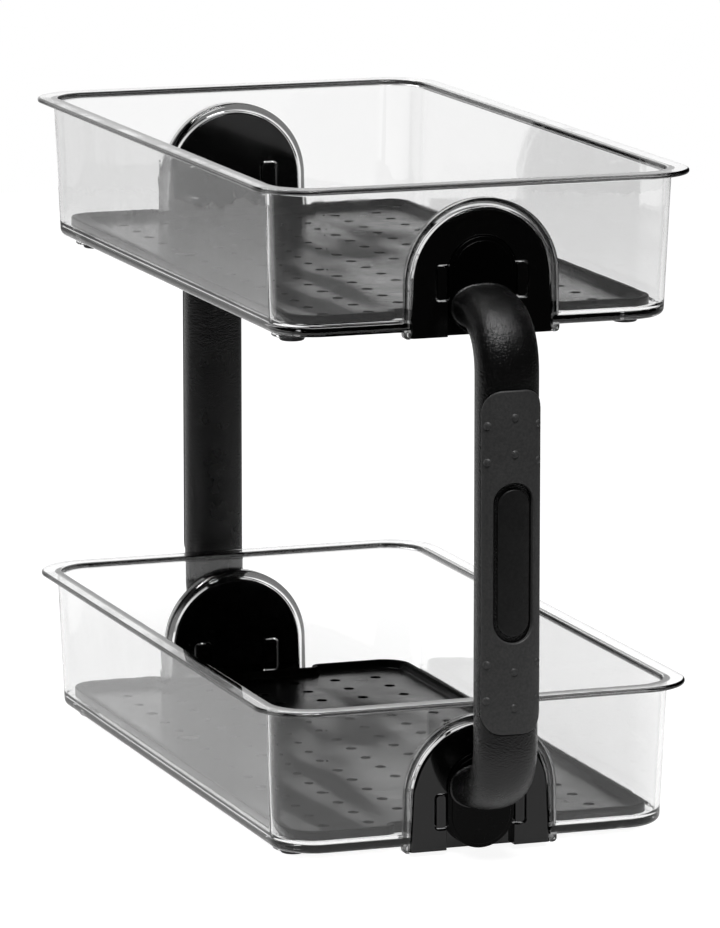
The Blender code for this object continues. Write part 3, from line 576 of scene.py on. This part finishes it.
def wrap_table():
    """Length travelled round the section from its outer middle, against the angle."""
    table, last, travelled = [], oval(math.pi / 2), 0.0
    for i in range(WRAP_STEPS + 1):
        turn = math.pi / 2 * (1.0 - i / WRAP_STEPS)
        here = oval(turn)
        travelled += math.hypot(here[0] - last[0], here[1] - last[1])
        table.append((travelled, turn))
        last = here
    return table


WRAP = wrap_table()


def grip_point(across, height, lift):
    """Point over the tube's outer face, at a length across it."""
    want = abs(across)
    high = min(max(bisect_left(WRAP, (want,)), 1), WRAP_STEPS)
    (s0, t0), (s1, t1) = WRAP[high - 1], WRAP[high]
    share = min(1.0, (want - s0) / max(s1 - s0, 1e-12))
    x, y, nx, ny = oval(t0 + (t1 - t0) * share)
    side = math.copysign(1.0, across)
    return Vector((side * (x + nx * lift), -(TUBE_RUN + y + ny * lift), height))


def tube_mesh():
    """C-shaped tube about its middle height: stations of (outward, height, normal, growth)."""
    reach = TUBE_RUN - TUBE_START
    bend = []
    for i in range(BEND_STEPS + 1):
        turn = math.pi / 2 * i / BEND_STEPS
        c, s, p = math.cos(turn), math.sin(turn), BEND_POWER
        along, up = abs(s) ** (2 / p), abs(c) ** (2 / p)
        normal = Vector((along ** (p - 1) / reach, up ** (p - 1) / BEND_HEIGHT)).normalized()
        bend.append((TUBE_START + reach * along, BEND_HEIGHT * (1.0 - up), *normal, 0.0))
    # a small fillet where the tube leaves the hub
    first = bend[0][0]
    flare = [(first + run, 0.0, 0.0, 1.0, growth) for run, growth in TUBE_FLARE]
    bend = flare + [b for b in bend if b[0] > first + TUBE_FLARE[0][1]]
    stations = [(o, HALF_SPAN - d, no, nu, g) for o, d, no, nu, g in bend]
    stations += [(o, -h, no, -nu, g) for o, h, no, nu, g in stations[::-1]]
    loops = []
    for out, height, n_out, n_up, grow in stations:
        loop = []
        for k in range(OVAL_STEPS):
            x, y, nx, ny = oval(2 * math.pi * k / OVAL_STEPS)
            x, y = x + nx * grow, y + ny * grow
            loop.append(Vector((x, -(out + y * n_out), height + y * n_up)))
        loops.append(loop)
    return loft("tube", loops)


def patch_mesh(name, half_length, half_wrap, corner, layers, columns=36):
    """Closed rounded patch on the outer face of the tube; layers are (inset, lift)."""
    unit = [math.sin(math.pi / 2 * i / PATCH_ROWS) for i in range(PATCH_ROWS + 1)]

    def grid(inset, lift):
        length, wrap = half_length - inset, half_wrap - inset
        radius = max(corner - inset, LEAST_CORNER)
        steps = [length - radius + radius * h for h in unit]
        heights = [-h for h in reversed(steps)] + steps
        table = []
        for h in heights:
            over = max(0.0, abs(h) - (length - radius))
            reach = wrap - radius + math.sqrt(max(radius * radius - over * over, 0.0))
            reach = max(reach, LEAST_REACH)
            table.append([grip_point(reach * (2.0 * j / columns - 1.0), h, lift)
                          for j in range(columns + 1)])
        return table

    verts, faces = [], []
    grids = [grid(inset, lift) for inset, lift in layers]
    lines = len(grids[0])

    def border(table):
        loop = [table[0][j] for j in range(columns)]
        loop += [table[i][columns] for i in range(lines - 1)]
        loop += [table[-1][j] for j in range(columns, 0, -1)]
        return loop + [table[i][0] for i in range(lines - 1, 0, -1)]

    for table, flip in ((grids[0], True), (grids[-1], False)):
        start = len(verts)
        for row in table:
            verts.extend(row)
        for i in range(lines - 1):
            for j in range(columns):
                a = start + i * (columns + 1) + j
                quad = (a, a + 1, a + columns + 2, a + columns + 1)
                faces.append(quad[::-1] if flip else quad)
    for lower, upper in zip(grids, grids[1:]):
        low, high = border(lower), border(upper)
        start, count = len(verts), len(low)
        verts.extend(low + high)
        for i in range(count):
            j = (i + 1) % count
            faces.append((start + i, start + j, start + count + j, start + count + i))
    return mesh_from(name, verts, faces)


def dot_mesh(across, height):
    """Raised dot of the pad, sunk into it by its seat and set square to the tube there."""
    dome = [(DOT_RADIUS + out, DOT_SEAT + up) for out, up in DOT_FOOT]
    dome += [(DOT_RADIUS * math.cos(t), DOT_SEAT + DOT_HEIGHT * math.sin(t)) for t in DOT_ANGLES]
    mesh = turned("dot", dome, sides=SMALL_SIDES)
    seat = grip_point(across, height, PAD_PROUD - DOT_SEAT)
    outward = grip_point(across, height, 0.0) - grip_point(across, height, -1.0 * MM)
    turn = Vector((0.0, 0.0, 1.0)).rotation_difference(outward).to_matrix().to_4x4()
    turn.translation = seat
    mesh.transform(turn)
    return mesh


def round_layers(bottom, top, radius):
    """Layers of a patch whose upper edge is rounded."""
    return [(0.0, bottom)] + arc(radius, top - radius, radius, 180, 90)


def build_handles(tube_mat, grip_mat, inlay_mat):
    channel = patch_mesh("channel", PAD_LENGTH / 2 + GAP, PAD_HALF_WRAP + GAP, PAD_CORNER + GAP,
                         [(0.0, -CHANNEL_DEPTH), (0.0, -0.8 * CHANNEL_EASE),
                          (-CHANNEL_EASE, CHANNEL_RISE), (-CHANNEL_EASE, PATCH_PAST)])
    tube = boolean(tube_mesh(), [("DIFFERENCE", channel)])
    floor = GAP - CHANNEL_DEPTH
    pad = patch_mesh("pad", PAD_LENGTH / 2, PAD_HALF_WRAP, PAD_CORNER,
                     round_layers(floor, PAD_PROUD, PAD_ROUND))
    lip = WINDOW_LIP
    window = patch_mesh(
        "window", WINDOW_LENGTH / 2 + lip, WINDOW_HALF + lip, WINDOW_HALF + lip,
        [(lip, floor - 1.0 * MM)] + [(share * lip, PAD_PROUD - down * lip)
                                     for share, down in LIP_CURVE] + [(0.0, PATCH_PAST)])
    dots = []
    for end in (-1, 1):
        for row in DOT_ROWS:
            dots.append(dot_mesh(0.0, end * row))
            for hand in (-1, 1):
                dots.append(dot_mesh(hand * DOT_SIDE, end * (row - DOT_STAGGER)))
    pad = boolean(pad, [("DIFFERENCE", window), ("UNION", joined("dots", dots))])
    inlay = patch_mesh("inlay", INLAY_LENGTH / 2, INLAY_HALF, INLAY_HALF,
                       round_layers(floor, INLAY_PROUD, INLAY_ROUND), columns=20)
    for side, turn in TURN.items():
        piece("tube_" + side, tube, tube_mat, "base", "handle_" + side,
              HANDLE_MID, turn)
        piece("soft_grip_" + side, pad, grip_mat, "base", "grip_" + side,
              HANDLE_MID, turn, sharp=40.0)
        piece("grip_inlay_" + side, inlay, inlay_mat, "base", "inlay_" + side,
              HANDLE_MID, turn)


# materials
def grey(level):
    return (level, level, level, 1.0)


class Graph:
    """A node tree, with a few helpers that make and link its nodes."""

    def __init__(self, owner):
        owner.use_nodes = True
        self.nodes, self.links = owner.node_tree.nodes, owner.node_tree.links

    def math(self, operation, *values):
        """Result of a maths node, of numbers and of other nodes' outputs."""
        node = self.nodes.new("ShaderNodeMath")
        node.operation = operation
        for socket, value in zip(node.inputs, values):
            if isinstance(value, float):
                socket.default_value = value
            else:
                self.links.new(value, socket)
        return node.outputs["Value"]

    def span(self, value, start, end, first=0.0, last=1.0, smooth=False):
        """The first level at the start value and before, the last at the end value and beyond."""
        node = self.nodes.new("ShaderNodeMapRange")
        if smooth:
            node.interpolation_type = "SMOOTHSTEP"
        for socket, level in (("From Min", start), ("From Max", end),
                              ("To Min", first), ("To Max", last)):
            node.inputs[socket].default_value = level
        self.links.new(value, node.inputs["Value"])
        return node.outputs["Result"]

    def split(self, vector):
        """The three parts of a vector."""
        node = self.nodes.new("ShaderNodeSeparateXYZ")
        self.links.new(vector, node.inputs["Vector"])
        return [node.outputs[axis] for axis in "XYZ"]

    def toward(self, vector, direction, wide, narrow, first, last):
        """First level outside a wide cone of directions, last in a narrow one, in degrees."""
        node = self.nodes.new("ShaderNodeVectorMath")
        node.operation = "DOT_PRODUCT"
        node.inputs[1].default_value = Vector(direction).normalized()
        self.links.new(vector, node.inputs[0])
        edges = [math.cos(math.radians(angle)) for angle in (wide, narrow)]
        return self.span(node.outputs["Value"], *edges, first, last, smooth=True)


class Shader(Graph):
    """A Principled material, with helpers for its noise."""

    def __init__(self, name, colour, roughness, ior=1.5):
        self.mat = bpy.data.materials.new(name)
        super().__init__(self.mat)
        self.shader = self.nodes["Principled BSDF"]
        self.shader.inputs["Base Color"].default_value = colour
        self.shader.inputs["Roughness"].default_value = roughness
        self.shader.inputs["IOR"].default_value = ior
        self.coords = self.nodes.new("ShaderNodeTexCoord")
        self.where = self.coords.outputs["Object"]
        self.mat.diffuse_color = colour

    def noise(self, scale, detail, rough, stretch=(1.0, 1.0, 1.0)):
        place = self.nodes.new("ShaderNodeMapping")
        place.inputs["Scale"].default_value = stretch
        self.links.new(self.where, place.inputs["Vector"])
        tex = self.nodes.new("ShaderNodeTexNoise")
        tex.inputs["Scale"].default_value = scale
        tex.inputs["Detail"].default_value = detail
        tex.inputs["Roughness"].default_value = rough
        self.links.new(place.outputs["Vector"], tex.inputs["Vector"])
        return tex.outputs["Fac"]

    def ramp(self, value, low, high):
        """Grey between two stops of (place, level)."""
        node = self.nodes.new("ShaderNodeValToRGB")
        for element, (place, level) in zip(node.color_ramp.elements, (low, high)):
            element.position = place
            element.color = grey(level)
        self.links.new(value, node.inputs["Fac"])
        return node.outputs["Color"]

    def to(self, socket, value):
        self.links.new(value, self.shader.inputs[socket])

    def bump(self, layers):
        """Stack of (noise, depth)."""
        last = None
        for noise, depth in layers:
            node = self.nodes.new("ShaderNodeBump")
            node.inputs["Distance"].default_value = depth
            node.inputs["Strength"].default_value = 1.0
            self.links.new(self.noise(*noise), node.inputs["Height"])
            if last is not None:
                self.links.new(last, node.inputs["Normal"])
            last = node.outputs["Normal"]
        self.to("Normal", last)


def speckled(name, colour, roughness, polish, bumps, tone=None, ior=1.5):
    """Material whose roughness, and grey if a tone is given, vary over a noise.

    Polish and tone are (noise, low stop, high stop), bumps are a list of (noise, depth), and
    a noise is (scale, detail, roughness).
    """
    s = Shader(name, colour, roughness, ior)
    for socket, source in (("Base Color", tone), ("Roughness", polish)):
        if source:
            noise, low, high = source
            s.to(socket, s.ramp(s.noise(*noise), low, high))
    s.bump(bumps)
    return s


def painted_edge_shade(s):
    """Masks of painted shade on the rim's and the collars' moulded edges, so they pass less light
    than the walls.
    """
    across, along, height = s.split(s.where)
    facing = s.math("ABSOLUTE", s.split(s.coords.outputs["Normal"])[2])
    rim_low = TRAY_HEIGHT - RIM_THICK
    rim = s.math("MULTIPLY", s.span(height, rim_low - SHADE_RUN, rim_low),
                 s.span(facing, *UPRIGHT))
    above = s.math("MAXIMUM", s.math("SUBTRACT", height, PLATE_TOP - PLATE_HALF), 0.0)
    reach = s.math("SQRT", s.math("ADD", s.math("MULTIPLY", across, across),
                                  s.math("MULTIPLY", above, above)))
    near = PLATE_HALF + GAP + SHADE_PAST
    ring = s.math("MULTIPLY", s.span(reach, near - 2 * SHADE_RUN, near),
                  s.span(reach, near + COLLAR_WALL + SHADE_RUN, near + COLLAR_WALL))
    inward, end = s.math("ABSOLUTE", along), COLLAR_END + SHADE_LENGTH
    mouth = s.math("MULTIPLY", s.span(inward, COLLAR_END - 2 * SHADE_RUN, COLLAR_END - SHADE_RUN),
                   s.span(inward, end + SHADE_RUN, end))
    collar = s.math("MULTIPLY", ring, mouth)
    return s.math("MAXIMUM", s.math("MULTIPLY", rim, RIM_SHADE), collar)


def clear_plastic():
    s = speckled("clear_plastic", grey(WALL_LEVEL), 0.03,
                 polish=((55.0, 4.0, 0.55), (0.4, 0.0), (0.75, 0.06)),
                 bumps=[((20.0, 1.0, 0.4), 0.4 * MM), ((55.0, 2.0, 0.4), 0.06 * MM)])
    s.shader.inputs["Transmission Weight"].default_value = 1.0
    # painted shade: the colour falls from the walls' level to a dark level on the masked rim and
    # collar edges
    s.to("Base Color", s.ramp(painted_edge_shade(s), (0.0, WALL_LEVEL), (1.0, EDGE_SHADE_LEVEL)))
    smoke = s.nodes.new("ShaderNodeVolumeAbsorption")
    smoke.inputs["Color"].default_value = grey(SMOKE_LEVEL)
    smoke.inputs["Density"].default_value = SMOKE_DENSITY
    result = s.nodes["Material Output"]
    s.links.new(smoke.outputs["Volume"], result.inputs["Volume"])
    # lamps reach what stands inside the trays
    path = s.nodes.new("ShaderNodeLightPath")
    thin = s.nodes.new("ShaderNodeBsdfTransparent")
    thin.inputs["Color"].default_value = grey(SHADOW_PASS)
    mix = s.nodes.new("ShaderNodeMixShader")
    s.links.new(path.outputs["Is Shadow Ray"], mix.inputs["Fac"])
    s.links.new(s.shader.outputs["BSDF"], mix.inputs[1])
    s.links.new(thin.outputs["BSDF"], mix.inputs[2])
    s.links.new(mix.outputs["Shader"], result.inputs["Surface"])
    return s.mat


def mat_rubber():
    s = speckled("mat_rubber", grey(0.006), 0.22, ior=1.42,
                 tone=((60.0, 5.0, 0.6), (0.3, 0.004), (0.7, 0.008)),
                 polish=((45.0, 4.0, 0.5), (0.3, 0.17), (0.7, 0.28)),
                 bumps=[((30.0, 2.0, 0.4), 1.2 * MM), ((2200.0, 2.0, 0.5), 0.02 * MM)])
    # the sheen comes and goes in soft patches and leaves border and dimples dark
    _, along, height = s.split(s.where)
    patches = s.ramp(s.noise(17.0, 2.0, 0.5, SHEEN_STRETCH), (0.4, 0.0), (0.66, 1.0))
    far = s.math("MULTIPLY", s.span(along, *SHEEN_FAR_END), SHEEN_FAR_LEVEL)
    sheen = s.math("ADD", s.math("MULTIPLY", patches, s.math("SUBTRACT", 1.0, far)), far)
    flat = s.math("MULTIPLY", s.span(height, *SHEEN_ABOVE), s.span(height, *SHEEN_BELOW))
    s.to("IOR", s.span(s.math("MULTIPLY", sheen, flat), 0.0, 1.0, *SHEEN_INDEX))
    return s.mat


def soft_grip():
    return speckled("soft_grip", grey(0.075), 0.45,
                    tone=((900.0, 4.0, 0.6), (0.35, 0.062), (0.7, 0.092)),
                    polish=((80.0, 4.0, 0.5), (0.3, 0.4), (0.7, 0.5)),
                    bumps=[((2000.0, 2.0, 0.6), 0.08 * MM)]).mat


def inlay_black():
    return speckled("inlay_black", grey(0.016), 0.4,
                    tone=((700.0, 4.0, 0.6), (0.35, 0.012), (0.7, 0.021)),
                    polish=((80.0, 4.0, 0.5), (0.3, 0.36), (0.7, 0.46)),
                    bumps=[((1700.0, 2.0, 0.6), 0.1 * MM)]).mat


def matte_black():
    return speckled("matte_black", grey(0.006), 0.25,
                    polish=((60.0, 4.0, 0.5), (0.3, 0.22), (0.7, 0.29)),
                    bumps=[((30.0, 2.0, 0.4), 0.1 * MM), ((1400.0, 2.0, 0.6), 0.3 * MM)]).mat


def hub_black():
    return speckled("hub_black", grey(0.001), 0.27, ior=1.2,
                    polish=((60.0, 4.0, 0.5), (0.3, 0.23), (0.7, 0.31)),
                    bumps=[((1900.0, 2.0, 0.6), 0.08 * MM)]).mat


def gloss_black():
    return speckled("gloss_black", grey(0.003), 0.07,
                    polish=((90.0, 5.0, 0.6), (0.35, 0.05), (0.7, 0.11)),
                    bumps=[((45.0, 2.0, 0.4), 0.06 * MM)]).mat


def foot_rubber():
    return speckled("foot_rubber", (0.02, 0.02, 0.021, 1.0), 0.6,
                    polish=((150.0, 4.0, 0.5), (0.3, 0.52), (0.7, 0.68)),
                    bumps=[((2400.0, 2.0, 0.5), 0.04 * MM)]).mat


build_trays(clear_plastic())
build_mats(mat_rubber())
build_feet(foot_rubber())
build_ends(gloss_black(), hub_black())
build_handles(matte_black(), soft_grip(), inlay_black())


# studio
def build_world():
    """Bright backdrop behind the object, the rest of the room dim, white to the camera."""
    world = bpy.data.worlds.new("studio")
    bpy.context.scene.world = world
    g = Graph(world)
    direction = g.nodes.new("ShaderNodeTexCoord").outputs["Generated"]
    height = g.split(direction)[2]
    backdrop = g.toward(direction, BACKDROP_AIM, *BACKDROP_CONE, *BACKDROP_LEVELS)
    ceiling = [math.sin(math.radians(angle)) for angle in CEILING_ANGLES]
    lit = g.math("MULTIPLY", backdrop, g.span(height, *ceiling, *CEILING_LEVELS, smooth=True))
    # a dark screen low on the left, which the left walls mirror
    screen = g.toward(direction, SCREEN_AIM, *SCREEN_CONE, *SCREEN_LEVELS)
    room = g.math("MULTIPLY", lit, screen)
    # through clear plastic the pale ground goes on past the floor's edge
    path = g.nodes.new("ShaderNodeLightPath")
    ground = g.math("MULTIPLY", path.outputs["Is Transmission Ray"],
                    g.span(height, *HORIZON, 0.0, GROUND_LEVEL))
    seen = g.math("MAXIMUM", path.outputs["Is Camera Ray"], g.math("MAXIMUM", ground, room))
    back = g.nodes["Background"]
    back.inputs["Color"].default_value = grey(1.0)
    g.links.new(seen, back.inputs["Strength"])


def floor_material():
    """Pale floor with the object's shadow. Its glow can be seen, but lights no matt surface."""
    mat = bpy.data.materials.new("floor")
    g = Graph(mat)
    shader = g.nodes["Principled BSDF"]
    shader.inputs["Base Color"].default_value = grey(FLOOR_LEVEL)
    shader.inputs["Roughness"].default_value = 0.9
    shader.inputs["Specular IOR Level"].default_value = 0.0
    shader.inputs["Emission Color"].default_value = grey(1.0)
    path = g.nodes.new("ShaderNodeLightPath")
    direct = g.math("MAXIMUM", path.outputs["Is Camera Ray"],
                    path.outputs["Is Transmission Ray"])
    shown = g.math("MAXIMUM", direct, path.outputs["Is Glossy Ray"])
    # mirrored, the floor is dimmer far behind the object and on its right
    across, along, _ = g.split(g.nodes.new("ShaderNodeNewGeometry").outputs["Position"])
    mirrored = g.math("MULTIPLY", g.span(along, *FLOOR_FAR, *FLOOR_FAR_LEVELS),
                      g.span(across, *FLOOR_RIGHT, *FLOOR_RIGHT_LEVELS))
    level = g.nodes.new("ShaderNodeMix")
    level.inputs["B"].default_value = FLOOR_FAR_LEVELS[0]
    g.links.new(direct, level.inputs["Factor"])
    g.links.new(mirrored, level.inputs["A"])
    glow = g.math("MULTIPLY", shown, level.outputs["Result"])
    g.links.new(g.math("MULTIPLY_ADD", direct, FLOOR_GLOW, glow),
                shader.inputs["Emission Strength"])
    return mat


def build_floor():
    work = bmesh.new()
    bmesh.ops.create_circle(work, cap_ends=True, segments=128, radius=FLOOR_RADIUS)
    mesh = bpy.data.meshes.new("floor")
    work.to_mesh(mesh)
    work.free()
    mesh.materials.append(floor_material())
    floor = placed("floor", mesh)
    floor.location = FLOOR_MIDDLE


def build_light():
    """Two soft lamps, one in front of the object and one behind."""
    for name, place, power in LAMPS:
        lamp = bpy.data.lights.new(name, "AREA")
        lamp.shape = "RECTANGLE"
        lamp.size, lamp.size_y = LAMP_SIZE
        lamp.energy = power
        obj = placed(name, lamp)
        obj.location = place
        aim = Vector(LAMP_TARGET) - obj.location
        obj.rotation_euler = aim.to_track_quat("-Z", "Y").to_euler()


def build_camera():
    """The photograph's camera, solved from the straight edges of both trays."""
    data = bpy.data.cameras.new("camera")
    cam = placed("camera", data)
    data.sensor_width = SENSOR
    data.lens = FOCAL_PIXELS / FRAME_PIXELS * SENSOR
    data.clip_start, data.clip_end = 0.1, 50.0
    x, y, above = CAMERA_PLACE
    cam.location = (x, y, above + TRAY_Z["lower"])
    look = Vector((math.sin(AZIMUTH) * math.cos(DOWN), math.cos(AZIMUTH) * math.cos(DOWN),
                   -math.sin(DOWN)))
    cam.rotation_euler = look.to_track_quat("-Z", "Y").to_euler()
    bpy.context.scene.camera = cam


build_world()
build_floor()
build_light()
build_camera()
bpy.context.scene.view_settings.view_transform = "Standard"
